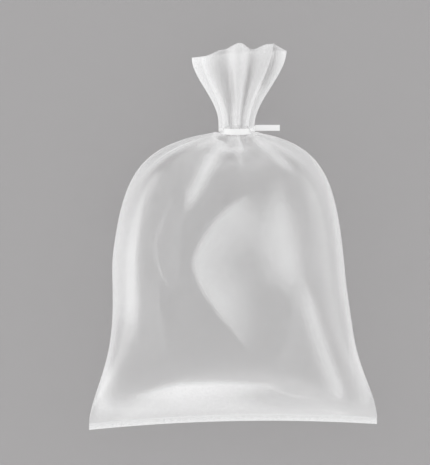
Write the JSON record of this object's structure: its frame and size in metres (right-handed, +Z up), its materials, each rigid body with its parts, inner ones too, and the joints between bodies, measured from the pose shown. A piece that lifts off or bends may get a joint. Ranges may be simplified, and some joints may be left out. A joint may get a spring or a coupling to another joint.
{
  "type": "liner bag",
  "caption": "Clear film liner bag full of air, sealed straight across its bottom, gathered at the neck by a flat tape tie, with an open ruffled mouth above it.",
  "frame": {"origin": "middle of the bounding box in X and Y, on the surface that the bag lies on", "axes": "+X to the bag's right, +Y from the bottom seal to the mouth, +Z up, out of the bag's front"},
  "size_m": [0.203, 0.2722, 0.0866],
  "materials": {
    "film": "thin clear film, slightly milky, whiter where it gathers",
    "tie": "smooth white tape"
  },
  "bodies": {
    "root": {"film_bag": "film", "neck_tie": "tie"}
  },
  "joints": []
}
